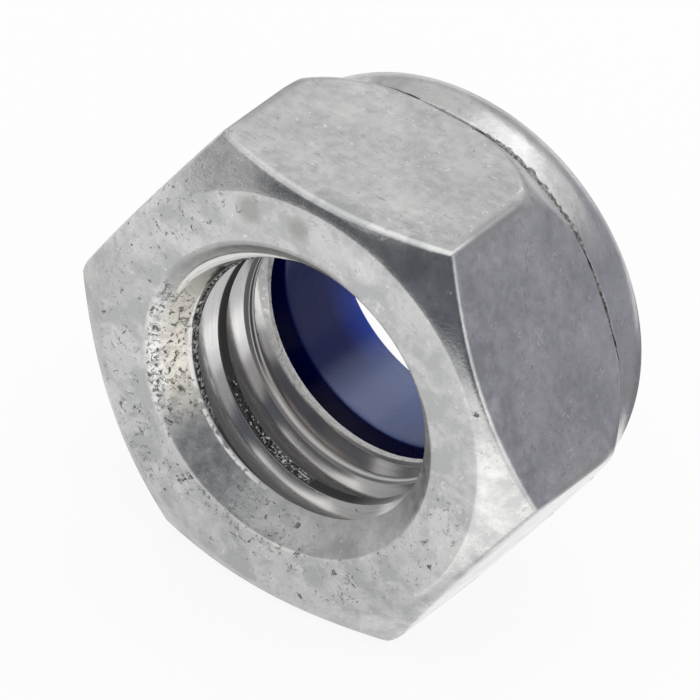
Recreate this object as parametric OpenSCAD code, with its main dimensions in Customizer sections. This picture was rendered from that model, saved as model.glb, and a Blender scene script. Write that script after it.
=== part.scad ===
// Nylon insert lock nut, lying on one hexagon flat.
// The thread axis runs along Y, the bearing face looks towards -Y and the
// collar towards +Y. The origin is on the surface that the nut lies on, below
// the middle of its length. Each piece is drawn about its own Z axis first,
// bearing face at z = 0, and then laid down.

/* [Thread] */
// Diameter of the threaded bore at the thread crests
bore_d = 10.44; // [9.8:0.02:10.6]
// Diameter of the countersink at the bearing face
countersink_d = 12.8; // [12:0.02:14]
// Full angle of the countersink
countersink_angle = 90; // [80:1:120]
// Rounding of the countersink's edge at the bearing face
countersink_round = 0.25; // [0.05:0.01:0.4]
// Broken edge at the rear end of the threaded bore
bore_break = 0.12; // [0.04:0.01:0.3]

/* [Hexagon] */
// Width across the flats
across_flats = 18; // [17.4:0.1:21]
// Rounding of the six corner edges
corner_round = 0.2; // [0.05:0.01:0.6]
// Height of the hexagon, from the bearing face to the collar
hex_h = 8.12; // [7.6:0.02:8.6]
// Diameter of the round bearing face
bearing_d = 16.96; // [15.4:0.02:17.2]
// Angle of the front chamfer, from the plane of the bearing face
chamfer_angle = 32; // [20:1:38]
// Rounding of the edge between the bearing face and the front chamfer
rim_round = 0.3; // [0.05:0.01:0.6]
// Radius of the turned shoulder behind the corners
shoulder_r = 4.6; // [3.6:0.1:6]
// Height at which the shoulder meets the corner edges
shoulder_z = 5.25; // [4.6:0.05:5.6]
// Diameter at which the shoulder meets the hexagon's rear face
rear_d = 18.3; // [17.8:0.02:18.8]

/* [Collar] */
// Outside diameter of the collar
collar_d = 17.7; // [17.2:0.02:18]
// Height of the whole nut
nut_h = 11.1; // [10.8:0.02:12]
// Wall of the collar and thickness of its curled lip
collar_wall = 1.1; // [0.8:0.02:1.4]
// Outside radius of the curled crown
crown_r = 1.8; // [1.5:0.05:2.2]
// Diameter of the opening inside the curled lip
lip_d = 12.9; // [12.4:0.02:13.6]
// Rounding of the lip's edge
lip_round = 0.3; // [0.1:0.02:0.45]
// Depth of the crimp groove at the foot of the collar
groove_depth = 0.4; // [0.2:0.02:0.6]
// Width of the crimp groove at the collar's surface, twice that of its floor
groove_w = 0.28; // [0.2:0.02:0.6]

/* [Insert] */
// Bore of the nylon ring
insert_bore_d = 10.84; // [10.4:0.02:11.4]
// Height of the recess floor, on which the ring is seated
recess_z = 6.24; // [5.8:0.02:6.6]
// Radial width of the lead-in cone at the front of the ring
lead_w = 0.88; // [0.4:0.02:1.1]
// Depth of the lead-in cone
lead_h = 1.09; // [0.4:0.02:1.5]
// How far the ring's rear face lies below the top of the lip
insert_drop = 0.3; // [0.1:0.02:0.6]
// Rounding of the ring's rear edges
insert_round = 0.1; // [0.05:0.01:0.4]
// Clearance between the ring and the steel around and above it
insert_gap = 0.05; // [0.02:0.01:0.1]

/* [Hidden] */

circle_steps = 96;
arc_steps = 8;
edge_steps = 4;
overshoot = 1;

bore_r = bore_d / 2;
countersink_r = countersink_d / 2;
countersink_h = (countersink_r - bore_r) / tan(countersink_angle / 2);
countersink_reach = countersink_round * tan(45 - countersink_angle / 4);
corner_r = across_flats / 2 / cos(30);
corner_mid_r = corner_r - corner_round / cos(30);
bearing_r = bearing_d / 2;
rim_reach = rim_round * tan(chamfer_angle / 2);

collar_r = collar_d / 2;
crown_z = nut_h - crown_r;
crown_mid_r = collar_r - crown_r;
recess_r = collar_r - collar_wall;
lip_r = lip_d / 2;
lip_under_z = nut_h - collar_wall;

foot_r = collar_r - groove_depth;

// The shoulder's arc runs from the corner edges to the edge of the rear face.
// Its centre lies on the chord's perpendicular bisector, on the axis side.
rear_r = rear_d / 2;
chord = [rear_r - corner_r, hex_h - shoulder_z];
chord_half = norm(chord) / 2;
chord_dir = chord / norm(chord);
bulge = sqrt(shoulder_r * shoulder_r - chord_half * chord_half);
shoulder_mid = [corner_r, shoulder_z] + chord / 2 - bulge * [chord_dir[1], -chord_dir[0]];
shoulder_from = atan2(shoulder_z - shoulder_mid[1], corner_r - shoulder_mid[0]);
shoulder_to = atan2(hex_h - shoulder_mid[1], rear_r - shoulder_mid[0]);

// Points along an arc in a plane
function arc(mid, r, from, to, steps = arc_steps) =
    [for (i = [0 : steps]) mid + r * [cos(from + (to - from) * i / steps),
                                      sin(from + (to - from) * i / steps)]];

// Outline of the hexagon with its rounded corners, one of them on the X axis
hexagon_outline = [for (side = [0 : 5]) each
    arc(corner_mid_r * [cos(60 * side), sin(60 * side)], corner_round,
        60 * side - 30, 60 * side + 30, edge_steps)];

// Turns a section, given as [radius, height] points, about the thread axis
module turned(section) {
    rotate_extrude($fn = circle_steps) polygon(section);
}

// Lays a piece that was drawn about Z on its lowest flat
module laid() {
    translate([0, -nut_h / 2, across_flats / 2]) rotate([-90, 0, 0]) children();
}

// Hexagon bar with the front chamfer and the rear shoulder turned on it
module hexagon() {
    intersection() {
        linear_extrude(hex_h) polygon(hexagon_outline);
        turned(concat(
            [[0, 0]],
            arc([bearing_r - rim_reach, rim_round], rim_round, 270, 270 + chamfer_angle, edge_steps),
            [[corner_r + overshoot, (corner_r + overshoot - bearing_r) * tan(chamfer_angle)],
             [corner_r + overshoot, shoulder_z]],
            arc(shoulder_mid, shoulder_r, shoulder_from, shoulder_to),
            [[0, hex_h]]));
    }
}

// Collar with its crimp groove, curled crown and lip, still solid inside
module collar() {
    turned(concat(
        [[0, hex_h - groove_w], [foot_r, hex_h - groove_w], [foot_r, hex_h + groove_w / 2],
         [collar_r, hex_h + groove_w]],
        arc([crown_mid_r, crown_z], crown_r, 0, 90),
        arc([lip_r + lip_round, nut_h - lip_round], lip_round, 90, 180),
        arc([lip_r + lip_round, lip_under_z + lip_round], lip_round, 180, 270),
        [[0, lip_under_z]]));
}

// What is bored out: countersink, thread bore and the recess for the ring
module hollow() {
    turned(concat(
        [[0, -overshoot], [countersink_r + countersink_reach, -overshoot]],
        arc([countersink_r + countersink_reach, countersink_round], countersink_round,
            270, 180 + countersink_angle / 2, edge_steps),
        [[bore_r, countersink_h], [bore_r, recess_z - bore_break],
         [bore_r + bore_break, recess_z], [recess_r, recess_z]],
        arc([crown_mid_r, crown_z], crown_r - collar_wall, 0, 90),
        [[0, lip_under_z]]));
}

// Steel nut in one piece: hexagon, threaded bore and crimped collar
module nut_body() {
    color("silver") laid() difference() {
        union() {
            hexagon();
            collar();
        }
        hollow();
    }
}

// Nylon ring seated on the recess floor and held by the curled lip
module nylon_insert() {
    inner_r = insert_bore_d / 2;
    outer_r = recess_r - insert_gap;
    neck_r = lip_r - insert_gap;
    rear_z = nut_h - insert_drop;
    under_z = lip_under_z - insert_gap;
    color("midnightblue") laid() turned(concat(
        [[inner_r + lead_w, recess_z], [outer_r, recess_z]],
        arc([crown_mid_r, crown_z], outer_r - crown_mid_r, 0, 90),
        [[neck_r, under_z]],
        arc([neck_r - insert_round, rear_z - insert_round], insert_round, 0, 90),
        arc([inner_r + insert_round, rear_z - insert_round], insert_round, 90, 180),
        [[inner_r, recess_z + lead_h]]));
}

nut_body();
nylon_insert();
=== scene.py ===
# Nylon insert lock nut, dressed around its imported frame.
# The nut lies on one flat: thread axis along Y, bearing face towards -Y, collar towards +Y.
# Sizes are in millimetres: a radius from the thread axis, a height from the bearing face.
import math

import bpy
from mathutils import Matrix, Vector, noise


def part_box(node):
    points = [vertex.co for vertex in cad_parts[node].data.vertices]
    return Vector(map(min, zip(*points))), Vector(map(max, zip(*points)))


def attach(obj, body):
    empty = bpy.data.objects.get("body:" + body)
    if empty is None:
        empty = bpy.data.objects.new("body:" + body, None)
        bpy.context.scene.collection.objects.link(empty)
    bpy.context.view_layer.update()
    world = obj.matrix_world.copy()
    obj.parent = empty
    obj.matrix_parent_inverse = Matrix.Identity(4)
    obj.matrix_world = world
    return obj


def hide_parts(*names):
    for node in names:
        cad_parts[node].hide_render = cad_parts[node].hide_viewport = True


mm = 0.001
weldGap = 1e-7  # metres, like cutGap
cutGap = 1e-6
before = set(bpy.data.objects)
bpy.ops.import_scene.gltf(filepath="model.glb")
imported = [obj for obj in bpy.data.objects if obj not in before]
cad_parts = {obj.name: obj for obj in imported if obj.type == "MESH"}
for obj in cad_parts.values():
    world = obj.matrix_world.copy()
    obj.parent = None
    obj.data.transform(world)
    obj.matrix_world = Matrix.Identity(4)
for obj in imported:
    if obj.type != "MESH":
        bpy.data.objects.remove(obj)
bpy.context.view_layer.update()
low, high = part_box("nut_body")
nutHeight = (high.y - low.y) / mm
acrossFlats = (high.z - low.z) / mm
faceY = low.y
axisZ = (low.z + high.z) / 2
print("frame loaded: nut", round(nutHeight, 2), "mm high,", round(acrossFlats, 2), "mm across flats")

# the photograph's view, aimed at a point near the middle of the nut
view = {
    "azimuth": 30.82,
    "elevation": 36.64,
    "roll": 8.70,
    "distance": 575.1,
    "aim": (-0.593, -0.763, 8.528),
    "lens": 805.1,
    "sensor": 36.0,
    "clip": (0.01, 20),
}


def addCamera(v):
    azimuth = math.radians(v["azimuth"])
    elevation = math.radians(v["elevation"])
    back = Vector((math.sin(azimuth) * math.cos(elevation),
                   -math.cos(azimuth) * math.cos(elevation),
                   math.sin(elevation)))
    bpy.ops.object.camera_add(location=(Vector(v["aim"]) + back * v["distance"]) * mm)
    camera = bpy.context.object
    camera.name = "photoCamera"
    turn = (-back).to_track_quat("-Z", "Y").to_matrix()
    camera.rotation_euler = (turn @ Matrix.Rotation(math.radians(v["roll"]), 3, "Z")).to_euler()
    camera.data.lens = v["lens"]
    camera.data.sensor_width = v["sensor"]
    camera.data.clip_start = v["clip"][0]
    camera.data.clip_end = v["clip"][1]
    bpy.context.scene.camera = camera


addCamera(view)
print("camera placed")


def activate(obj):
    bpy.ops.object.select_all(action="DESELECT")
    obj.select_set(True)
    bpy.context.view_layer.objects.active = obj


def applyModifier(obj, modifier):
    activate(obj)
    bpy.ops.object.modifier_apply(modifier=modifier.name)


# joins another closed piece to this one, or cuts it away
def combine(piece, other, operation):
    modifier = piece.modifiers.new("combine", "BOOLEAN")
    modifier.operation = operation
    modifier.solver = "EXACT"
    modifier.object = other
    applyModifier(piece, modifier)
    bpy.data.objects.remove(other)


def arc(midR, midH, radius, start, end, steps):
    angles = [math.radians(start + (end - start) * i / steps) for i in range(steps + 1)]
    return [(midR + radius * math.cos(a), midH + radius * math.sin(a)) for a in angles]


# points from start towards end, with the end left to what follows
def stretch(start, end, steps):
    return [(start[0] + (end[0] - start[0]) * i / steps, start[1] + (end[1] - start[1]) * i / steps)
            for i in range(steps)]


# a closed loop of edges in the section plane, as an object of its own
def sectionObject(name, section, origin):
    points = [Vector((r * mm, h * mm, 0)) for r, h in section]
    mesh = bpy.data.meshes.new(name)
    mesh.from_pydata(points, [(i, (i + 1) % len(points)) for i in range(len(points))], [])
    piece = bpy.data.objects.new(name, mesh)
    bpy.context.scene.collection.objects.link(piece)
    piece.location = origin
    return piece


# turns a closed section about the thread axis and leaves its place in the mesh
def turnedPiece(name, section, steps):
    piece = sectionObject(name, section, (0, faceY, axisZ))
    activate(piece)
    bpy.ops.object.transform_apply(location=True, rotation=False, scale=False)
    bpy.ops.object.mode_set(mode="EDIT")
    bpy.ops.mesh.select_all(action="SELECT")
    bpy.ops.mesh.spin(steps=steps, angle=2 * math.pi, center=(0, 0, axisZ), axis=(0, 1, 0))
    bpy.ops.mesh.select_all(action="SELECT")
    bpy.ops.mesh.remove_doubles(threshold=weldGap)
    bpy.ops.mesh.normals_make_consistent(inside=False)
    bpy.ops.object.mode_set(mode="OBJECT")
    return piece


body = {
    "boreR": 5.22,
    "countersinkR": 6.40,
    "countersinkRound": 0.25,
    "bearingR": 8.48,
    "rimRound": 0.3,
    "chamferAngle": 32,
    "shoulderR": 4.6,
    "shoulderH": 5.25,
    "rearR": 9.06,
    "hexH": 8.12,
    "grooveDepth": 0.4,
    "grooveW": 0.2,
    "collarR": 8.85,
    "crownR": 1.8,
    "wall": 1.1,
    "lipR": 6.45,
    "lipRound": 0.3,
    "recessH": 6.24,
    "boreBreak": 0.12,
    "tornAngle": 62,
    "tornHalf": 13,
    "tornDepth": 0.07,
    "tornBand": (0.2, 0.62),
    "tornNoise": (900, 1.2),
    "overshoot": 0.3,
    "chamferRing": 8.8,
    "steps": 180,
    "cornerBevel": 0.11,
    "arcBevel": 0.19,
    "wornCorners": (180, 300),
    "wornBevel": 0.7,
}
flatNormals = [Vector((math.cos(math.radians(30 + 60 * i)), 0, math.sin(math.radians(30 + 60 * i))))
               for i in range(6)]
cornerR = acrossFlats / math.sqrt(3)


# middle of the turned shoulder's arc, from its two ends and its radius
def shoulderMid(b):
    start = Vector((cornerR, b["shoulderH"]))
    end = Vector((b["rearR"], b["hexH"]))
    along = (end - start).normalized()
    bulge = math.sqrt(b["shoulderR"] ** 2 - (end - start).length ** 2 / 4)
    return (start + end) / 2 - bulge * Vector((along.y, -along.x))


# rings where the flats' planes pass through the turning steps, so that the cuts run corner to corner
def shoulderRings(b):
    mid = shoulderMid(b)
    step = 360 / b["steps"]
    rings = []
    for i in range(round(30 / step), -1, -1):
        r = acrossFlats / 2 / math.cos(math.radians(i * step))
        if r > b["rearR"]:
            rings.append((r, mid.y + math.sqrt(b["shoulderR"] ** 2 - (r - mid.x) ** 2)))
    return rings + [(b["rearR"], b["hexH"])]


def bodySection(b):
    slope = math.tan(math.radians(b["chamferAngle"]))
    countersinkH = b["countersinkR"] - b["boreR"]
    lip = b["countersinkRound"]
    lipReach = lip * math.tan(math.radians(22.5))
    rim = b["rimRound"]
    rimReach = rim * math.tan(math.radians(b["chamferAngle"] / 2))
    outR = cornerR + b["overshoot"]
    foot = b["collarR"] - b["grooveDepth"]
    grooveTop = b["hexH"] + b["grooveW"]
    crownMid = b["collarR"] - b["crownR"]
    crownH = nutHeight - b["crownR"]
    recessR = b["collarR"] - b["wall"]
    under = nutHeight - b["wall"]
    edge = b["lipR"] + b["lipRound"]
    # countersink and bearing face
    points = stretch((b["boreR"], countersinkH), (b["countersinkR"] - lipReach, lipReach), 12)
    points += arc(b["countersinkR"] + lipReach, lip, lip, 225, 270, 4)
    points += stretch((b["countersinkR"] + lip, 0), (b["bearingR"] - rimReach, 0), 12)
    points += arc(b["bearingR"] - rimReach, rim, rim, 270, 270 + b["chamferAngle"], 4)
    # front chamfer, corner edges and turned shoulder
    points += [(r, (r - b["bearingR"]) * slope) for r in (b["chamferRing"], outR)]
    points += [(outR, b["shoulderH"])]
    points += shoulderRings(b)
    # crimp groove with its rounded foot, collar, crown and curled lip
    grooveMid = b["hexH"] + b["grooveW"] / 2
    points += [(foot + 0.25, b["hexH"]), (foot + 0.08, b["hexH"] + 0.01), (foot + 0.01, b["hexH"] + 0.06)]
    points += stretch((foot + 0.01, grooveMid), (b["collarR"] - 0.05, grooveTop - 0.02), 4)
    points += [(b["collarR"] - 0.05, grooveTop - 0.02), (b["collarR"] - 0.015, grooveTop + 0.01)]
    points += stretch((b["collarR"], grooveTop + 0.05), (b["collarR"], crownH), 8)
    points += arc(crownMid, crownH, b["crownR"], 0, 90, 22)
    points += arc(edge, nutHeight - b["lipRound"], b["lipRound"], 90, 180, 6)
    points += arc(edge, under + b["lipRound"], b["lipRound"], 180, 270, 4)
    # recess for the ring, its floor and the bore's broken edge
    points += arc(crownMid, crownH, b["crownR"] - b["wall"], 90, 0, 8)
    points += [(recessR, b["recessH"])]
    landEnd = (b["boreR"], b["recessH"] - b["boreBreak"])
    points += stretch((b["boreR"] + b["boreBreak"], b["recessH"]), landEnd, 2)
    points += stretch(landEnd, (b["boreR"], countersinkH), 4)
    return points


# distance of a point from a flat's plane, outwards
def flatGap(point, normal):
    return (point - Vector((0, 0, axisZ))).dot(normal) - acrossFlats / 2 * mm


def cutFlats(piece):
    activate(piece)
    bpy.ops.object.mode_set(mode="EDIT")
    for normal in flatNormals:
        bpy.ops.mesh.select_all(action="SELECT")
        bpy.ops.mesh.bisect(plane_co=Vector((0, 0, axisZ)) + normal * acrossFlats / 2 * mm, plane_no=normal,
                            use_fill=True, clear_outer=True, threshold=cutGap)
    bpy.ops.mesh.select_all(action="DESELECT")
    bpy.ops.object.mode_set(mode="OBJECT")


# rounds the corner edges, the arcs where the turned faces meet the flats, and the rear edge
def roundEdges(piece, b):
    mesh = piece.data
    near = 2e-6  # metres off a plane
    nearRing = 0.005
    cornerReach = 5  # degrees
    flatDot = 0.9999
    onFlats = [[i for i in range(6) if abs(flatGap(v.co, flatNormals[i])) < near] for v in mesh.vertices]
    faceFlat = [[i for i in range(6) if p.normal.dot(flatNormals[i]) > flatDot] for p in mesh.polygons]
    edgeFaces = {}
    for p in mesh.polygons:
        for key in p.edge_keys:
            edgeFaces.setdefault(key, []).append(p.index)
    rearY = faceY + b["hexH"] * mm
    weights = mesh.attributes.new("bevel_weight_edge", "FLOAT", "EDGE")
    count = 0
    for e in mesh.edges:
        first, second = e.vertices
        shared = [i for i in onFlats[first] if i in onFlats[second]]
        ends = [mesh.vertices[i].co for i in e.vertices]
        weight = 0
        if len(shared) == 2:
            corner = math.degrees(math.atan2(ends[0].z - axisZ, ends[0].x)) % 360
            worn = any(abs(corner - angle) < cornerReach for angle in b["wornCorners"])
            weight = b["wornBevel" if worn else "cornerBevel"] / b["wornBevel"]
        elif len(shared) == 1:
            flats = [f for f in edgeFaces[e.key] if shared[0] in faceFlat[f]]
            if len(flats) == 1:
                weight = b["arcBevel"] / b["wornBevel"]
        elif all(abs(c.y - rearY) < near and abs(math.hypot(c.x, c.z - axisZ) / mm - b["rearR"]) < nearRing
                 for c in ends):
            weight = b["cornerBevel"] / b["wornBevel"]
        if weight:
            weights.data[e.index].value = weight
            count += 1
    bevel = piece.modifiers.new("roundEdges", "BEVEL")
    bevel.limit_method = "WEIGHT"
    bevel.width = b["wornBevel"] * mm
    bevel.segments = 3
    bevel.use_clamp_overlap = False
    bevel.miter_outer = "MITER_SHARP"
    applyModifier(piece, bevel)
    # where two rounded edges run together, the rounding stays inside the flats
    for v in piece.data.vertices:
        for normal in flatNormals:
            gap = flatGap(v.co, normal)
            if gap > 0:
                v.co -= normal * gap
    return count


# the collar's front edge is torn away for a stretch at the top
def tearCollar(piece, b):
    lowest = b["hexH"] + b["tornBand"][0]
    highest = b["hexH"] + b["tornBand"][1]
    scale, strength = b["tornNoise"]
    for v in piece.data.vertices:
        r = math.hypot(v.co.x, v.co.z - axisZ) / mm
        h = (v.co.y - faceY) / mm
        if b["collarR"] - 0.1 < r < b["collarR"] + 0.05 and lowest < h < highest:
            angle = math.degrees(math.atan2(v.co.z - axisZ, v.co.x)) % 360
            away = abs(angle - b["tornAngle"]) / b["tornHalf"]
            share = max(0, min(1, 2.5 - 2.5 * away + noise.noise(v.co * scale) * strength))
            upper = (h - lowest) / (highest - lowest)
            shrink = 1 - share * b["tornDepth"] * (1.1 - upper) / r
            v.co.x *= shrink
            v.co.z = axisZ + (v.co.z - axisZ) * shrink


# the smooth lip that the thread tool pushed up on the cone, before the groove's first turn
bead = {
    "startAngle": 172,
    "turned": 90,
    "steps": 60,
    "startH": 0.44,
    "halfWidth": 0.24,
    "height": 0.2,
    "sink": 0.02,
    "taper": 0.3,
    "endTaper": 0.55,
    "around": 9,
}


# a rounded ridge along the helix on the countersink's cone, joined to the blank
def raiseBead(piece, b, d, pitch):
    points = []
    faces = []
    around = d["around"]
    for step in range(d["steps"] + 1):
        part = step / d["steps"]
        angle = math.radians(d["startAngle"] - d["turned"] * part)
        fade = min(1, part / d["taper"], (1 - part) / d["endTaper"] + 0.02)
        middle = d["startH"] + pitch * d["turned"] * part / 360
        for i in range(around):
            turn = 2 * math.pi * i / around
            along = d["halfWidth"] * (0.45 + 0.55 * fade) * math.cos(turn)
            lift = d["height"] * math.sin(turn) * fade - d["sink"]
            h = middle + (along - lift) * math.sqrt(0.5)
            r = b["countersinkR"] - middle - (along + lift) * math.sqrt(0.5)
            points.append(Vector((r * math.cos(angle) * mm, faceY + h * mm,
                                  axisZ + r * math.sin(angle) * mm)))
    for step in range(d["steps"]):
        for i in range(around):
            a = step * around + i
            c = step * around + (i + 1) % around
            faces.append((a, c, c + around, a + around))
    faces.append(tuple(range(around)))
    faces.append(tuple(range(d["steps"] * around, (d["steps"] + 1) * around)))
    mesh = bpy.data.meshes.new("bead")
    mesh.from_pydata(points, [], faces)
    ridge = bpy.data.objects.new("bead", mesh)
    bpy.context.scene.collection.objects.link(ridge)
    activate(ridge)
    bpy.ops.object.mode_set(mode="EDIT")
    bpy.ops.mesh.select_all(action="SELECT")
    bpy.ops.mesh.normals_make_consistent(inside=False)
    bpy.ops.object.mode_set(mode="OBJECT")
    combine(piece, ridge, "UNION")


thread = {
    "pitch": 1.75,
    "rootR": 6.0,
    "rootFlat": 0.44,
    "crestH": 3.2,
    "crestRound": 0.04,
    "stepsPerTurn": 180,
    "turnsBefore": 2,
    "turns": 4,
    "startTurn": 105,
    "narrowBy": 0.28,
    "narrowFrom": 1.86,
    "narrowTo": 2.08,
    "landH": 6.1,
}


# cuts the groove of a right-hand 60 degree thread along its helix, from the cone to the rear land
def cutThread(piece, b, t):
    edge = t["crestRound"]
    wall = b["boreR"] + edge
    half = t["rootFlat"] / 2
    mouth = half + (t["rootR"] - wall) * math.tan(math.radians(30))
    # half of the groove's section: rounded root, flank, rounded crest, and on into the open bore
    side = [(t["rootR"], half * 0.5), (t["rootR"] - 0.03, half), (wall, mouth),
            (wall - edge * 0.7, mouth + edge * 0.75), (wall - edge - 0.02, mouth + edge * 1.6),
            (wall - 0.2, mouth + edge * 3)]
    middle = t["crestH"] + t["pitch"] * (0.5 - t["turnsBefore"])
    loop = [(-r, middle + h) for r, h in side] + [(-r, middle - h) for r, h in reversed(side)]
    cutter = sectionObject("threadCutter", loop, (0, faceY, axisZ))
    screw = cutter.modifiers.new("helix", "SCREW")
    screw.axis = "Y"
    screw.angle = 2 * math.pi
    screw.screw_offset = t["pitch"] * mm
    screw.iterations = t["turns"]
    screw.steps = t["stepsPerTurn"]
    screw.render_steps = t["stepsPerTurn"]
    screw.use_merge_vertices = False
    applyModifier(cutter, screw)
    # the tool enters gradually, and the groove narrows from one side behind its second turn
    share = [0.75] + [1] * (len(side) - 1) + [0] * (len(side) - 1) + [0.25]
    for v in cutter.data.vertices:
        step, corner = divmod(v.index, len(loop))
        turned = step / t["stepsPerTurn"]
        depth = min(1, turned * 360 / t["startTurn"])
        radius = math.hypot(v.co.x, v.co.z) / mm
        groove = (middle + t["pitch"] * turned) * mm
        if radius > wall:
            shrink = (wall + (radius - wall) * depth) / radius
            v.co.x *= shrink
            v.co.z *= shrink
        if radius > wall + 0.1:
            v.co.y = groove + (v.co.y - groove) * (0.2 + 0.8 * depth)
        late = (turned - t["narrowFrom"]) / (t["narrowTo"] - t["narrowFrom"])
        v.co.y -= t["narrowBy"] * share[corner] * min(1, max(0, late)) * mm
    bpy.ops.object.mode_set(mode="EDIT")
    bpy.ops.mesh.select_all(action="SELECT")
    bpy.ops.mesh.bisect(plane_co=(0, faceY + t["landH"] * mm, 0), plane_no=(0, 1, 0), use_fill=True,
                        clear_outer=True, threshold=cutGap)
    bpy.ops.mesh.select_all(action="SELECT")
    bpy.ops.mesh.fill_holes(sides=0)
    bpy.ops.mesh.select_all(action="SELECT")
    bpy.ops.mesh.normals_make_consistent(inside=False)
    bpy.ops.object.mode_set(mode="OBJECT")
    combine(piece, cutter, "DIFFERENCE")


nutBody = turnedPiece("nutBody", bodySection(body), body["steps"])
print("blank turned:", len(nutBody.data.polygons), "faces")
cutFlats(nutBody)
print("flats cut:", len(nutBody.data.polygons), "faces")
print("edges rounded:", roundEdges(nutBody, body), "edges")
tearCollar(nutBody, body)
raiseBead(nutBody, body, bead, thread["pitch"])
print("lip raised:", len(nutBody.data.polygons), "faces")
cutThread(nutBody, body, thread)
print("thread cut:", len(nutBody.data.polygons), "faces")
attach(nutBody, "root")
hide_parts("nut_body")


ring = {
    "boreR": 5.42,
    "leadR": 6.30,
    "leadTop": 7.33,
    "rearH": 10.86,
    "clearance": 0.05,
    "seatRound": 0.08,
    "edgeRound": 0.06,
    "leadRound": 0.12,
    "steps": 180,
}


# seated on the recess floor, with its back along the inside of the crown and its neck inside the lip
def ringSection(g, b):
    seat = b["recessH"]
    outerR = b["collarR"] - b["wall"] - g["clearance"]
    crownMidR = b["collarR"] - b["crownR"]
    neckR = b["lipR"] - g["clearance"]
    corner = g["seatRound"]
    e = g["edgeRound"]
    lead = g["leadRound"]
    points = [(g["leadR"] + 0.04, seat)]
    points += stretch((g["leadR"] + 0.3, seat), (outerR - 0.1, seat), 4)
    points += arc(outerR - corner, seat + corner, corner, -90, 0, 3)
    points += arc(crownMidR, nutHeight - b["crownR"], outerR - crownMidR, 0, 90, 8)
    points += [(neckR, nutHeight - b["wall"] - g["clearance"])]
    points += arc(neckR - e, g["rearH"] - e, e, 0, 90, 5)
    points += arc(g["boreR"] + e, g["rearH"] - e, e, 90, 180, 5)
    points += stretch((g["boreR"], g["rearH"] - e - 0.2), (g["boreR"], g["leadTop"] + lead), 12)
    points += [(g["boreR"], g["leadTop"] + lead * 0.6), (g["boreR"] + 0.03, g["leadTop"] - 0.02)]
    points += stretch((g["boreR"] + 0.1, g["leadTop"] - 0.12), (g["leadR"] - 0.04, seat + 0.06), 4)
    points += [(g["leadR"] - 0.02, seat + 0.02)]
    return points


nylonRing = turnedPiece("nylonRing", ringSection(ring, body), ring["steps"])
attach(nylonRing, "root")
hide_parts("nylon_insert")
print("nylon ring turned")


# node helpers: a new node with its values, where each value is a socket or a number
def addNode(tree, kind, values=None, **settings):
    node = tree.nodes.new(kind)
    for name, value in settings.items():
        setattr(node, name, value)
    for name, value in (values or {}).items():
        if isinstance(value, bpy.types.NodeSocket):
            tree.links.new(value, node.inputs[name])
        else:
            node.inputs[name].default_value = value
    return node


def useGroup(tree, group, values):
    return addNode(tree, "ShaderNodeGroup", values, node_tree=group).outputs


def calc(tree, operation, a, b=0.0, clamp=False):
    node = addNode(tree, "ShaderNodeMath", {0: a, 1: b}, operation=operation, use_clamp=clamp)
    return node.outputs[0]


def chain(tree, operation, values):
    result = values[0]
    for value in values[1:]:
        result = calc(tree, operation, result, value)
    return result


def product(tree, *values):
    return chain(tree, "MULTIPLY", values)


def total(tree, *values):
    return chain(tree, "ADD", values)


def largest(tree, *values):
    return chain(tree, "MAXIMUM", values)


def less(tree, value, by, clamp=False):
    return calc(tree, "SUBTRACT", value, by, clamp)


def remap(tree, value, low, high, outLow=0.0, outHigh=1.0):
    node = addNode(tree, "ShaderNodeMapRange", {"Value": value, "From Min": low, "From Max": high,
                                                "To Min": outLow, "To Max": outHigh})
    return node.outputs["Result"]


# one inside a window around a middle value, falling to zero over a soft edge
def window(tree, value, middle, half, soft):
    away = calc(tree, "ABSOLUTE", less(tree, value, middle))
    return remap(tree, away, half, half + soft, 1.0, 0.0)


def blendColor(tree, factor, a, b):
    node = addNode(tree, "ShaderNodeMix", {0: factor, 6: a, 7: b}, data_type="RGBA", clamp_factor=True)
    return node.outputs[2]


def noiseValue(tree, vector, scale, detail=3.0, roughness=0.55, distortion=0.0):
    node = addNode(tree, "ShaderNodeTexNoise", {"Vector": vector, "Scale": scale, "Detail": detail,
                                                "Roughness": roughness, "Distortion": distortion})
    return node.outputs["Fac"]


def newGroup(name, inputs, outputs):
    tree = bpy.data.node_groups.new(name, "ShaderNodeTree")
    for socketName, kind, value in inputs:
        socket = tree.interface.new_socket(socketName, in_out="INPUT", socket_type=kind)
        if value is not None:
            socket.default_value = value
    for socketName, kind in outputs:
        tree.interface.new_socket(socketName, in_out="OUTPUT", socket_type=kind)
    return tree, tree.nodes.new("NodeGroupInput").outputs, tree.nodes.new("NodeGroupOutput").inputs


number = "NodeSocketFloat"
vector = "NodeSocketVector"


# radius, height and angle around the thread axis, and Helix, a height that is the same all along a crest
def aroundAxisGroup():
    tree, given, out = newGroup("aroundAxis", [("Vector", vector, None), ("Face Y", number, 0.0),
                                               ("Axis Z", number, 9.0), ("Pitch", number, 1.75)],
                                [("Radius", number), ("Height", number), ("Angle", number),
                                 ("Helix", number), ("Streak", vector)])
    part = addNode(tree, "ShaderNodeSeparateXYZ", {0: given["Vector"]}).outputs
    up = less(tree, part["Z"], given["Axis Z"])
    radius = calc(tree, "SQRT", total(tree, product(tree, part["X"], part["X"]), product(tree, up, up)))
    height = less(tree, part["Y"], given["Face Y"])
    turn = calc(tree, "DEGREES", calc(tree, "ARCTAN2", up, part["X"]))
    angle = calc(tree, "FLOORED_MODULO", turn, 360.0)
    share = calc(tree, "DIVIDE", less(tree, 180.0, angle), 360.0)
    helix = less(tree, height, product(tree, share, given["Pitch"]))
    # streaks run along the crests, so their noise is squeezed along the angle
    squeezed = product(tree, angle, 0.007)
    streak = addNode(tree, "ShaderNodeCombineXYZ", {"X": squeezed, "Y": helix, "Z": radius})
    for name, value in (("Radius", radius), ("Height", height), ("Angle", angle), ("Helix", helix),
                        ("Streak", streak.outputs[0])):
        tree.links.new(value, out[name])
    return tree


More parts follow.
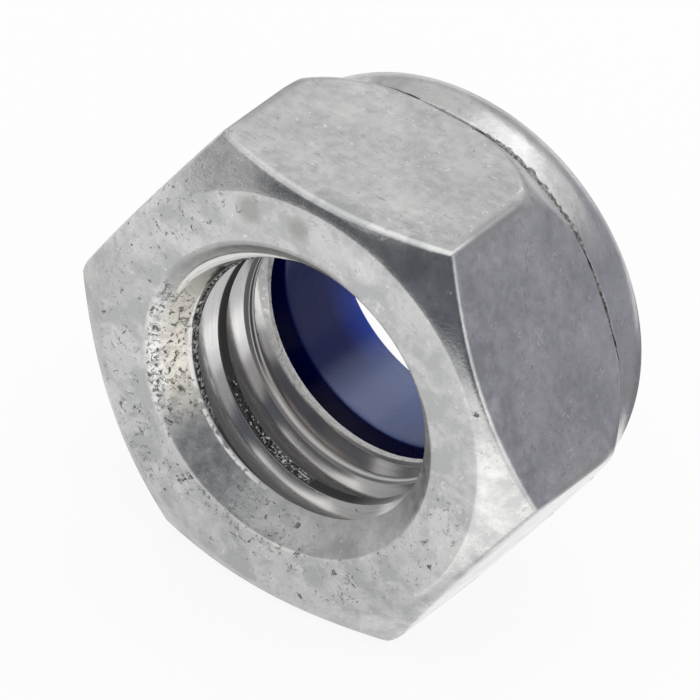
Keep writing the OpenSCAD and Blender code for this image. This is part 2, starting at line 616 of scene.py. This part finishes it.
# cloudy tone and fine grain of a plated or moulded surface, on coordinates in millimetres
def mottleGroup():
    tree, given, out = newGroup("mottle", [("Vector", vector, None), ("Cloud Scale", number, 0.4),
                                           ("Patch Scale", number, 2.4), ("Grain Scale", number, 9.0)],
                                [("Tone", number), ("Patches", number), ("Grain", number),
                                 ("Specks", number)])
    cloud = noiseValue(tree, given["Vector"], given["Cloud Scale"], 3)
    patches = noiseValue(tree, given["Vector"], given["Patch Scale"], 4, 0.62)
    grain = noiseValue(tree, given["Vector"], given["Grain Scale"], 3, 0.6)
    specks = noiseValue(tree, given["Vector"], product(tree, given["Grain Scale"], 0.45), 2, 0.5, 0.3)
    tree.links.new(remap(tree, cloud, 0.35, 0.65), out["Tone"])
    tree.links.new(remap(tree, patches, 0.33, 0.67), out["Patches"])
    tree.links.new(remap(tree, grain, 0.25, 0.75), out["Grain"])
    # light specks count up and dark ones down
    signed = less(tree, remap(tree, specks, 0.34, 0.26), remap(tree, specks, 0.66, 0.74))
    tree.links.new(signed, out["Specks"])
    return tree


# ragged pits and short cracks that grow with the amount
def pitsGroup():
    tree, given, out = newGroup("pits", [("Vector", vector, None), ("Scale", number, 4.2),
                                         ("Amount", number, 0.0), ("Cracks", number, 0.3)],
                                [("Mask", number), ("Height", number)])
    islands = noiseValue(tree, given["Vector"], given["Scale"], 5, 0.68, 0.5)
    depth = less(tree, islands, remap(tree, given["Amount"], 0.0, 1.0, 0.76, 0.545))
    # a crack is the line where a coarser noise passes its middle, in the few places that are let through
    wave = noiseValue(tree, given["Vector"], product(tree, given["Scale"], 0.35), 4, 0.6, 0.9)
    line = remap(tree, calc(tree, "ABSOLUTE", less(tree, wave, 0.5)), 0.004, 0.012, 1.0, 0.0)
    where = total(tree, noiseValue(tree, given["Vector"], 0.8, 3),
                  product(tree, given["Cracks"], given["Amount"]))
    crack = product(tree, line, remap(tree, where, 0.74, 0.80))
    tree.links.new(largest(tree, remap(tree, depth, 0.0, 0.025), crack), out["Mask"])
    hollow = remap(tree, depth, -0.04, 0.05, 0.0, -1.0)
    tree.links.new(less(tree, hollow, product(tree, crack, 0.5)), out["Height"])
    return tree


# fine scratches along one direction: thin slices of a stretched noise
def scratchGroup():
    tree, given, out = newGroup("scratches", [("Vector", vector, None), ("Along X", number, 0.25),
                                              ("Along Y", number, 3.0), ("Width", number, 0.012),
                                              ("Amount", number, 0.5)],
                                [("Mask", number)])
    by = addNode(tree, "ShaderNodeCombineXYZ", {"X": given["Along X"], "Y": given["Along Y"],
                                                "Z": given["Along Y"]}).outputs[0]
    scaled = addNode(tree, "ShaderNodeVectorMath", {0: given["Vector"], 1: by}, operation="MULTIPLY")
    off = calc(tree, "ABSOLUTE", less(tree, noiseValue(tree, scaled.outputs[0], 1.0, 2, 0.5), 0.5))
    line = remap(tree, calc(tree, "DIVIDE", off, given["Width"]), 0.4, 1.0, 1.0, 0.0)
    where = total(tree, noiseValue(tree, given["Vector"], 0.9, 2), given["Amount"])
    tree.links.new(product(tree, line, remap(tree, where, 1.0, 1.08)), out["Mask"])
    return tree


aroundAxis = aroundAxisGroup()
mottle = mottleGroup()
pits = pitsGroup()
scratches = scratchGroup()


# a material with its place in millimetres, around the thread axis too, and the mottle on it
def newMaterial(name):
    material = bpy.data.materials.new(name)
    material.use_nodes = True
    tree = material.node_tree
    place = addNode(tree, "ShaderNodeTexCoord").outputs["Object"]
    inMm = addNode(tree, "ShaderNodeVectorMath", {0: place, "Scale": 1 / mm}, operation="SCALE").outputs[0]
    around = useGroup(tree, aroundAxis, {"Vector": inMm, "Face Y": faceY / mm, "Axis Z": axisZ / mm,
                                         "Pitch": thread["pitch"]})
    return material, tree, inMm, around, useGroup(tree, mottle, {"Vector": inMm})


zinc = {
    "light": (0.82, 0.825, 0.81, 1),
    "dark": (0.535, 0.54, 0.545, 1),
    "cut": (0.74, 0.73, 0.725, 1),
    "cutDark": (0.62, 0.61, 0.61, 1),
    "crest": (0.065, 0.065, 0.067, 1),
    "lastCrest": (0.24, 0.235, 0.24, 1),
    # pale colour for worn metal, nicks, painted glints and painted highlights
    "paleWearAndGlint": (0.95, 0.945, 0.92, 1),
    "stain": (0.66, 0.60, 0.49, 1),
    # painted shade on the cone behind the lip
    "paintedShadeBehindLip": (0.3, 0.3, 0.29, 1),
    # painted shade on the corner edges behind the chamfer
    "cornerEdgeShade": (0.36, 0.36, 0.37, 1),
    "root": (0.20, 0.19, 0.195, 1),
    "brown": (0.50, 0.43, 0.39, 1),
    "dirt": (0.36, 0.355, 0.34, 1),
    "pit": (0.035, 0.035, 0.035, 1),
    "smudge": (0.40, 0.40, 0.375, 1),
    "toneShares": {"Tone": 0.5, "Patches": 0.3, "Grain": 0.2},
    "speckTone": 0.6,
    "scratchTone": 0.6,
    "roughness": (0.30, 0.40),
    "cutRoughness": 0.17,
    "chamferRoughness": 0.23,
    "collarRoughness": 0.29,
    "wornRoughness": 0.6,
    "wornMetal": 0.12,
    "crestMetal": 0.05,
    "rootMetal": 0.15,
    "grainBump": 0.003,
    "patchBump": 0.0008,
    "pitBump": 0.06,
    "seamBump": 0.03,
    "collarBump": 0.05,
    "streakBump": 0.0004,
}

# marks: middle, half width and soft edge of an angle, a radius or a helix height, and the amount
marks = {
    "tornFirst": {"helix": (thread["crestH"] - thread["pitch"], 0.26, 0.05), "angle": (168, 45, 14)},
    "tornMiddle": {"helix": (thread["crestH"], 0.17, 0.05), "angle": (240, 24, 5)},
    "brown": {"angle": (245, 18, 20), "amount": 0.5},
    "paintedGlints": {"angle": (190, 22, 12), "radius": (5.9, 0.5, 0.2)},
    "stain": {"angle": (178, 28, 16), "radius": (5.6, 0.25, 0.3), "amount": 0.5},
    "paintedShadeBehindLip": {"angle": (112, 30, 20), "amount": 0.5},
    "coneEdge": {"angle": (206, 42, 14), "radius": (body["boreR"] + 0.05, 0.04, 0.04)},
    "collarTear": {"angle": (body["tornAngle"], body["tornHalf"], 8)},
}
pittedPlaces = [
    {"angle": (191, 26, 14), "radius": (5.9, 0.5, 0.2), "amount": 0.74},
    {"angle": (250, 22, 12), "radius": (5.9, 0.4, 0.2), "amount": 0.4},
    {"angle": (240, 15, 8), "radius": (6.85, 0.35, 0.2), "amount": 0.66},
    {"angle": (268, 16, 8), "radius": (6.4, 0.9, 0.3), "amount": 0.6},
    {"angle": (185, 50, 15), "radius": (7.8, 0.9, 0.3), "amount": 0.5},
    {"angle": (275, 22, 10), "radius": (7.4, 0.7, 0.4), "amount": 0.42},
    {"angle": (322, 34, 12), "radius": (7.3, 0.8, 0.4), "amount": 0.5},
    {"angle": (140, 26, 14), "radius": (8.6, 0.9, 0.4), "amount": 0.5},
]
pittedElsewhere = 0.16
# the two fine seams of the last crest: middle from the seam's height, half width and soft edge
seams = {
    "height": thread["crestH"] + thread["pitch"] - 0.06,
    # the white rows and the band are painted highlights
    "white": [(-0.09, 0.02, 0.02), (0.15, 0.035, 0.02)],
    "dark": [(0.0, 0.03, 0.03), (0.23, 0.02, 0.02)],
    "band": [(0.02, 0.07, 0.03)],
}
# smudges on the bearing face: angle and radius of the middle, and the size
smudges = [(111, 7.84, 0.75), (95, 7.65, 0.6)]
# single deep pits on the front: angle, radius and size
deepPits = [
    (278, 5.7, 0.12),
    (282, 6.4, 0.11),
    (296, 6.9, 0.12),
    (332, 7.9, 0.12),
    (282, 8.2, 0.09),
    (242, 5.7, 0.1),
    (127, 7.4, 0.1),
    (138, 8.7, 0.08),
    (173, 7.8, 0.08),
    (25, 8.7, 0.14),
]


# height of the front's surface at a radius: cone, bearing face or chamfer
def frontHeight(r, b):
    slope = math.tan(math.radians(b["chamferAngle"]))
    return max(0, b["countersinkR"] - r, (r - b["bearingR"]) * slope)


def markMask(tree, around, mark):
    windows = [window(tree, around[key.capitalize()], *mark[key])
               for key in ("helix", "angle", "radius") if key in mark]
    return product(tree, *windows, mark.get("amount", 1.0))


def seamMask(tree, around, rows):
    return largest(tree, *[window(tree, around["Helix"], seams["height"] + off, half, soft)
                           for off, half, soft in rows])


# distance from a point that is given by its angle, radius and height
def distanceFrom(tree, place, angle, r, h):
    turn = math.radians(angle)
    point = (r * math.cos(turn), faceY / mm + h, axisZ / mm + r * math.sin(turn))
    return addNode(tree, "ShaderNodeVectorMath", {0: place, 1: point}, operation="DISTANCE").outputs["Value"]


# masks of the body's own surfaces
def steelPlaces(tree, place, around, b):
    radius = around["Radius"]
    height = around["Height"]
    slope = total(tree, radius, height)
    cone = b["countersinkR"]  # radius and height together, all over the countersink
    front = remap(tree, height, 1.3, 1.1)
    inBore = product(tree, remap(tree, radius, 6.03, 6.0), remap(tree, slope, cone + 0.03, cone + 0.06))
    ragged = remap(tree, noiseValue(tree, place, 2.6, 4, 0.6), 0.3, 0.7, 0.1, 0.34)
    reach = product(tree, ragged, markMask(tree, around, marks["collarTear"]))
    reach = total(tree, reach, b["hexH"] + b["grooveW"] + 0.06)
    rise = less(tree, height, product(tree, less(tree, radius, b["bearingR"]),
                                      math.tan(math.radians(b["chamferAngle"]))))
    return {
        "inBore": inBore,
        "plated": less(tree, 1.0, inBore),
        "crest": product(tree, inBore, remap(tree, radius, b["boreR"] + 0.09, b["boreR"] + 0.055)),
        # the roots on the lower left, where painted shade goes
        "root": product(tree, inBore, remap(tree, radius, 5.8, 5.9), remap(tree, around["Angle"], 205, 225),
                        remap(tree, around["Angle"], 290, 275)),
        "front": front,
        "lip": product(tree, front, remap(tree, slope, cone - 0.04, cone - 0.08)),
        "cone": product(tree, front, remap(tree, slope, cone + 0.2, cone + 0.1)),
        "coneEdge": product(tree, front, remap(tree, slope, cone + 0.06, cone + 0.03)),
        "chamfer": product(tree, remap(tree, rise, 0.06, 0.03),
                           remap(tree, radius, b["bearingR"], b["bearingR"] + 0.2)),
        # where the corner edges get painted shade, behind the chamfer
        "cornerEdgeShade": product(tree, remap(tree, radius, cornerR - 0.22, cornerR - 0.1),
                              remap(tree, height, 1.6, 2.8)),
        "collar": remap(tree, height, b["hexH"] + 0.1, b["hexH"] + 0.2),
        "groove": product(tree, remap(tree, less(tree, reach, height), 0.0, 0.05),
                          remap(tree, height, b["hexH"] + 0.005, b["hexH"] + 0.02),
                          remap(tree, radius, b["collarR"] + 0.03, b["collarR"] + 0.01)),
    }


# plated tone: clouds, patches, grain and specks, less fine scratches and blotches
def platedColor(tree, place, around, skin, z):
    tone = total(tree, *[product(tree, skin[name], share) for name, share in z["toneShares"].items()])
    tone = calc(tree, "ADD", tone, product(tree, skin["Specks"], z["speckTone"]), True)
    lines = useGroup(tree, scratches, {"Vector": place, "Along X": 0.5, "Along Y": 2.2, "Amount": 0.5})
    tone = less(tree, tone, product(tree, lines["Mask"], z["scratchTone"]), True)
    blotches = remap(tree, noiseValue(tree, place, 0.75, 5, 0.6, 0.4), 0.45, 0.7, 0.0, 0.85)
    onFront = remap(tree, around["Height"], 1.9, 1.6, 0.08, 1.0)
    return blendColor(tree, less(tree, tone, product(tree, blotches, onFront), True), z["dark"], z["light"])


# cut metal of the thread: black on the middle crest, grey on the last one, a dark seam, brown, and dull
# roots with painted shade on the lower left
def threadColor(tree, around, on, streaks, z, t, color):
    color = blendColor(tree, on["inBore"], color, blendColor(tree, streaks, z["cut"], z["cutDark"]))
    last = remap(tree, around["Helix"], t["crestH"] + 0.8, t["crestH"] + 0.9)
    color = blendColor(tree, on["dull"], color, blendColor(tree, last, z["crest"], z["lastCrest"]))
    darkSeam = product(tree, seamMask(tree, around, seams["dark"]), on["crest"], 0.8)
    color = blendColor(tree, darkSeam, color, z["crest"])
    brown = product(tree, on["inBore"], markMask(tree, around, marks["brown"]),
                    remap(tree, around["Height"], 4.0, 4.6))
    color = blendColor(tree, brown, color, z["brown"])
    # painted shade: the roots darken on the lower left only
    return blendColor(tree, product(tree, on["root"], 0.8), color, z["root"])


# painted glints and a stain on the countersink, painted shade behind the lip, smudges, and light nicks on
# the outside
def stainedColor(tree, place, around, on, z, color):
    # painted glints: white specks between the pits on the countersink's left
    paintedGlints = product(tree, markMask(tree, around, marks["paintedGlints"]), on["front"],
                     remap(tree, noiseValue(tree, place, 3.0, 4, 0.6), 0.40, 0.54))
    color = blendColor(tree, paintedGlints, color, z["paleWearAndGlint"])
    stain = product(tree, markMask(tree, around, marks["stain"]), on["front"])
    color = blendColor(tree, stain, color, z["stain"])
    # painted shade: the cone's colour darkens behind the lip at the top
    paintedShadeBehindLip = product(tree, markMask(tree, around, marks["paintedShadeBehindLip"]), on["cone"])
    color = blendColor(tree, paintedShadeBehindLip, color, z["paintedShadeBehindLip"])
    for angle, r, size in smudges:
        spot = remap(tree, distanceFrom(tree, place, angle, r, 0), size, size * 0.4, 0.0, 0.8)
        color = blendColor(tree, spot, color, z["smudge"])
    nicks = remap(tree, noiseValue(tree, place, 3.0, 2, 0.5, 1.6), 0.695, 0.72, 0.0, 0.75)
    nicks = product(tree, nicks, remap(tree, around["Height"], 1.4, 1.8), on["plated"])
    return blendColor(tree, nicks, color, z["paleWearAndGlint"])


# pits everywhere, most in the worn places, torn crests, and the single deep ones
def pitMasks(tree, place, around, on, b):
    amount = largest(tree, pittedElsewhere, *[product(tree, markMask(tree, around, spot), on["front"])
                                              for spot in pittedPlaces])
    pitted = useGroup(tree, pits, {"Vector": place, "Amount": amount})
    torn = useGroup(tree, pits, {"Vector": place, "Scale": 4.6, "Cracks": 0.0,
                                 "Amount": product(tree, on["torn"], 1.15)})
    deep = 0.0
    uneven = product(tree, noiseValue(tree, place, 7.0, 3, 0.65), 0.6)
    for angle, r, size in deepPits:
        away = total(tree, distanceFrom(tree, place, angle, r, frontHeight(r, b)), uneven)
        deep = largest(tree, deep, remap(tree, away, size + 0.29, size + 0.25))
    on["pit"] = largest(tree, pitted["Mask"], product(tree, torn["Mask"], on["torn"]), deep)
    on["pitHeight"] = total(tree, pitted["Height"], product(tree, torn["Height"], on["torn"]))


# pale marks: chips of worn metal on torn crests, and painted highlights on the last crest's seams, the rear
# rim, the lip and the cone's edge
def wearAndHighlightMask(tree, place, around, on, b):
    angle = around["Angle"]
    chipNoise = noiseValue(tree, place, 8.5, 4, 0.65)
    paler = total(tree, chipNoise, remap(tree, angle, 228, 252, -0.02, 0.06))
    chips = largest(tree, product(tree, on["tornMiddle"], on["crest"], remap(tree, paler, 0.57, 0.61)),
                    product(tree, on["tornFirst"], remap(tree, chipNoise, 0.47, 0.56), 0.6))
    seamHighlight = product(tree, seamMask(tree, around, seams["white"]), remap(tree, angle, 205, 235, 1.0, 0.3))
    band = product(tree, seamMask(tree, around, seams["band"]), remap(tree, angle, 214, 232, 0.0, 0.9))
    seamHighlights = product(tree, largest(tree, seamHighlight, band), on["crest"])
    rimFrom = remap(tree, angle, 205, 228, b["recessH"] - 0.36, b["recessH"] - 0.43)
    rim = product(tree, on["inBore"], remap(tree, less(tree, around["Height"], rimFrom), 0.0, 0.06),
                  remap(tree, noiseValue(tree, place, 6.0, 3, 0.6), 0.3, 0.5, 0.45, 1))
    coneEdge = product(tree, markMask(tree, around, marks["coneEdge"]), on["coneEdge"],
                       remap(tree, noiseValue(tree, place, 4.0, 3, 0.6), 0.4, 0.5))
    return largest(tree, chips, coneEdge, seamHighlights, product(tree, on["lip"], 0.7), rim)


# relief: grain and patches, pits, the last crest's fine lines, waves on the collar and streaks in the bore
def steelRelief(tree, place, around, on, skin, streaks, z):
    seam = product(tree, on["crest"], remap(tree, around["Helix"], 4.9, 4.95))
    lines = remap(tree, noiseValue(tree, around["Streak"], 16.0, 2, 0.5), 0.35, 0.65)
    skinHeight = total(tree, product(tree, skin["Grain"], z["grainBump"]),
                       product(tree, skin["Patches"], z["patchBump"]))
    return total(tree, product(tree, skinHeight, on["plated"]),
                 product(tree, on["pitHeight"], z["pitBump"]),
                 product(tree, seam, lines, z["seamBump"]),
                 product(tree, on["collar"], noiseValue(tree, place, 0.8, 2, 0.5), z["collarBump"]),
                 product(tree, on["inBore"], streaks, z["streakBump"]))


def zincMaterial(z, b, t):
    material, tree, place, around, skin = newMaterial("zincPlate")
    on = steelPlaces(tree, place, around, b)
    for name in ("tornFirst", "tornMiddle"):
        on[name] = product(tree, markMask(tree, around, marks[name]), on["inBore"])
    on["torn"] = largest(tree, on["tornFirst"], on["tornMiddle"])
    # the crests are dull, and less so near the bottom
    on["dull"] = product(tree, on["crest"], remap(tree, around["Angle"], 290, 330, 1.0, 0.4))
    streaks = remap(tree, noiseValue(tree, around["Streak"], 7.0, 2, 0.5), 0.3, 0.7)
    pitMasks(tree, place, around, on, b)
    worn = wearAndHighlightMask(tree, place, around, on, b)
    color = platedColor(tree, place, around, skin, z)
    color = threadColor(tree, around, on, streaks, z, t, color)
    color = stainedColor(tree, place, around, on, z, color)
    # pale wear on the chips, painted highlights on the seams, the rear rim, the lip and the cone's edge
    color = blendColor(tree, worn, color, z["paleWearAndGlint"])
    # painted shade: the corner edges darken behind the chamfer, against the light their rounding catches
    color = blendColor(tree, product(tree, on["cornerEdgeShade"], 0.6), color, z["cornerEdgeShade"])
    color = blendColor(tree, product(tree, on["pit"], 0.85), color, z["pit"])
    # dirt in the crimp groove, thickest at the torn edge
    soot = remap(tree, noiseValue(tree, place, 7.0, 3, 0.6), 0.42, 0.6)
    sooty = product(tree, on["groove"], remap(tree, around["Angle"], 76, 90, 0.92, 0.35))
    color = blendColor(tree, sooty, color, blendColor(tree, soot, z["pit"], z["dirt"]))
    finish = remap(tree, skin["Patches"], 0, 1, *z["roughness"])
    worst = largest(tree, on["groove"], on["pit"], on["dull"], on["cornerEdgeShade"])
    for mask, value in ((on["chamfer"], z["chamferRoughness"]), (on["collar"], z["collarRoughness"]),
                        (on["inBore"], z["cutRoughness"]), (worst, z["wornRoughness"])):
        finish = addNode(tree, "ShaderNodeMix", {0: mask, 2: finish, 3: value}).outputs[0]
    bare = largest(tree, on["groove"], on["pit"], worn)
    metal = product(tree, remap(tree, bare, 0, 1, 1.0, z["wornMetal"]),
                    remap(tree, on["crest"], 0.2, 0.8, 1.0, z["crestMetal"]),
                    remap(tree, on["root"], 0, 1, 1.0, z["rootMetal"]))
    relief = steelRelief(tree, place, around, on, skin, streaks, z)
    bump = addNode(tree, "ShaderNodeBump", {"Height": relief, "Distance": mm, "Strength": 1.0})
    shader = tree.nodes["Principled BSDF"]
    for name, value in (("Base Color", color), ("Roughness", finish), ("Metallic", metal),
                        ("Specular IOR Level", remap(tree, on["crest"], 0.2, 0.8, 0.5, 0.0)),
                        ("Normal", bump.outputs["Normal"])):
        tree.links.new(value, shader.inputs[name])
    return material


nylon = {
    "color": (0.010, 0.017, 0.11, 1),
    "paintedGlowColor": (0.012, 0.05, 0.40, 1),
    "paintedReflection": (0.10, 0.145, 0.34, 1),
    "paintedLeadShade": (0.0015, 0.002, 0.04, 1),
    "roughness": (0.24, 0.34),
    "gloss": (0.34, 0.58),
    "glow": (230, 10, 30),
    "shade": (228, 3, 7),
}


# moulded nylon: painted light near the rear opening, a painted reflection on the lower bore, and painted
# shade on the lead-in cone
def nylonMaterial(n, g):
    material, tree, place, around, skin = newMaterial("blueNylon")
    height = around["Height"]
    angle = around["Angle"]
    # painted light: bright blue near the rear opening, as if light came through
    edge = product(tree, remap(tree, height, g["leadTop"] + 2.0, g["rearH"]),
                   window(tree, angle, *n["glow"]))
    # painted reflection: a paler band on the lower bore
    paintedReflection = product(tree, remap(tree, angle, 232, 248), remap(tree, angle, 300, 270))
    # painted shade on the lead-in cone
    lead = remap(tree, height, g["leadTop"] + 0.02, g["leadTop"] - 0.05)
    color = blendColor(tree, edge, n["color"], n["paintedGlowColor"])
    color = blendColor(tree, paintedReflection, color, n["paintedReflection"])
    color = blendColor(tree, lead, color, n["paintedLeadShade"])
    gloss = remap(tree, angle, 190, 222, *n["gloss"])
    gloss = less(tree, gloss, product(tree, window(tree, angle, *n["shade"]), 0.3))
    gloss = less(tree, gloss, product(tree, lead, 0.4), True)
    finish = remap(tree, skin["Patches"], 0, 1, *n["roughness"])
    shader = tree.nodes["Principled BSDF"]
    for name, value in (("Base Color", color), ("Roughness", finish), ("Specular IOR Level", gloss)):
        tree.links.new(value, shader.inputs[name])
    return material


nutBody.data.materials.append(zincMaterial(zinc, body, thread))
nylonRing.data.materials.append(nylonMaterial(nylon, ring))
print("materials made")

studio = {
    "horizon": 0.35,
    "side": 0.54,
    "top": 1.3,
    "diffuse": (1, 1, 1, 1),
    "white": (1, 1, 1, 1),
    "floorSize": 6,
    "floorColor": (0.86, 0.86, 0.86, 1),
    "floorCamera": 0.88,
    "cardH": 0.05,
    "lampGain": 4,
}


# white for the camera, a plain grey-to-white room for reflections, even light for the rest
def addWorld(s):
    world = bpy.data.worlds.new("studio")
    bpy.context.scene.world = world
    world.use_nodes = True
    tree = world.node_tree
    direction = addNode(tree, "ShaderNodeTexCoord").outputs["Generated"]
    height = addNode(tree, "ShaderNodeSeparateXYZ", {0: direction}).outputs["Z"]
    room = total(tree, remap(tree, height, 0.0, 0.6, s["horizon"], s["side"]),
                 remap(tree, height, 0.7, 0.95, 0.0, s["top"] - s["side"]))
    path = addNode(tree, "ShaderNodeLightPath").outputs
    glossy = blendColor(tree, path["Is Glossy Ray"], s["diffuse"], room)
    shown = blendColor(tree, path["Is Camera Ray"], glossy, s["white"])
    tree.links.new(shown, tree.nodes["Background"].inputs["Color"])


# a new material without a shader, for the floor and the cards
def emptyMaterial(name):
    material = bpy.data.materials.new(name)
    material.use_nodes = True
    material.node_tree.nodes.clear()
    return material, material.node_tree


def addFloor(s):
    bpy.ops.mesh.primitive_plane_add(size=s["floorSize"], location=(0, 0, 0))
    floor = bpy.context.object
    floor.name = "floor"
    material, tree = emptyMaterial("whiteFloor")
    path = addNode(tree, "ShaderNodeLightPath").outputs
    paper = addNode(tree, "ShaderNodeBsdfDiffuse", {"Color": s["floorColor"]}).outputs[0]
    glow = addNode(tree, "ShaderNodeEmission", {"Color": s["white"], "Strength": 1.0}).outputs[0]
    share = product(tree, path["Is Camera Ray"], s["floorCamera"])
    mixed = addNode(tree, "ShaderNodeMixShader", {0: share, 1: paper, 2: glow}).outputs[0]
    addNode(tree, "ShaderNodeOutputMaterial", {"Surface": mixed})
    floor.data.materials.append(material)


# direction from the nut, with the azimuth from the front towards the right
def stageDirection(azimuth, elevation):
    a = math.radians(azimuth)
    e = math.radians(elevation)
    return Vector((math.sin(a) * math.cos(e), -math.cos(a) * math.cos(e), math.sin(e)))


# a soft lamp of a given brightness, aimed at the nut
def addSoftbox(name, azimuth, elevation, distance, size, brightness):
    toward = stageDirection(azimuth, elevation)
    bpy.ops.object.light_add(type="AREA", location=toward * distance + Vector((0, 0, axisZ)))
    lamp = bpy.context.object
    lamp.name = name
    lamp.rotation_euler = toward.to_track_quat("Z", "Y").to_euler()
    lamp.data.shape = "RECTANGLE"
    lamp.data.size = size[0]
    lamp.data.size_y = size[1]
    lamp.data.energy = brightness * size[0] * size[1] * studio["lampGain"]
    lamp.visible_camera = False


# an even glow, seen in reflections alone
def finishCard(card, name, color):
    card.name = name
    material, tree = emptyMaterial(name)
    glow = addNode(tree, "ShaderNodeEmission", {"Color": color + (1,), "Strength": 1.0}).outputs[0]
    addNode(tree, "ShaderNodeOutputMaterial", {"Surface": glow})
    card.data.materials.append(material)
    card.visible_camera = False
    card.visible_diffuse = False
    card.visible_shadow = False
    card.visible_transmission = False


# a card around the nut that only reflections see, with its distance and size in metres
def addCard(name, azimuth, elevation, distance, size, color):
    toward = stageDirection(azimuth, elevation)
    bpy.ops.mesh.primitive_plane_add(size=1, location=toward * distance + Vector((0, 0, axisZ)))
    card = bpy.context.object
    card.rotation_euler = toward.to_track_quat("Z", "Y").to_euler()
    card.scale = (size[0], size[1], 1)
    finishCard(card, name, color)


# a glowing patch on the paper that only reflections see, lighter or darker than the rest: painted light and
# painted shade on the floor, in millimetres
def addFloorCard(name, place, size, color):
    bpy.ops.mesh.primitive_plane_add(size=1, location=(place[0] * mm, place[1] * mm, studio["cardH"] * mm))
    card = bpy.context.object
    card.scale = (size[0] * mm, size[1] * mm, 1)
    finishCard(card, name, color)


addWorld(studio)
addFloor(studio)
addSoftbox("backSoftbox", 177, 46, 0.35, (0.22, 0.13), 0.66)
addCard("frontLeftCard", -22, 10, 0.3, (0.24, 0.2), (0.98, 0.97, 0.93))
addCard("leftTopCard", -42, 46, 0.3, (0.22, 0.15), (0.84, 0.84, 0.83))
addCard("frontCard", 35, 28.8, 0.04, (0.051, 0.0255), (0.086, 0.094, 0.116))
addCard("frontTopCard", -10, 29, 0.045, (0.054, 0.0125), (0.05, 0.056, 0.074))
addCard("backCard", 157, 38, 0.3, (0.11, 0.12), (0.66, 0.66, 0.66))
addCard("backLeftCard", 218, 24, 0.3, (0.11, 0.11), (0.72, 0.72, 0.71))
addCard("rightBackCard", 140, 7, 0.04, (0.06, 0.036), (0.30, 0.30, 0.34))
addCard("rightSideCard", 80, 14, 0.3, (0.12, 0.12), (1.8, 1.8, 1.8))
# painted light on the floor in front and under the nut, painted shade on the left
addFloorCard("rightFrontLightPatch", (21, -24), (29, 32), (1.26, 1.25, 1.23))
addFloorCard("leftShadePatch", (-23, -9), (14, 30), (0.7, 0.7, 0.69))
addFloorCard("underLightPatch", (2, -7.75), (22, 8.5), (0.69, 0.69, 0.69))
addFloorCard("rightUnderLightPatch", (8.5, 3), (9, 17), (1.1, 1.1, 1.1))
addFloorCard("rearShade", (8, 20), (20, 16), (0.18, 0.18, 0.21))
addFloorCard("rightRearShade", (45, 42), (54, 60), (0.29, 0.29, 0.31))
addFloorCard("backShade", (-14, 46), (30, 34), (0.55, 0.55, 0.55))
bpy.context.scene.view_settings.view_transform = "Standard"
print("studio lit")

smoothAngle = math.radians(28)
for piece in (nutBody, nylonRing):
    activate(piece)
    bpy.ops.object.shade_smooth_by_angle(angle=smoothAngle)
weighted = nutBody.modifiers.new("weighted", "WEIGHTED_NORMAL")
weighted.keep_sharp = True
applyModifier(nutBody, weighted)
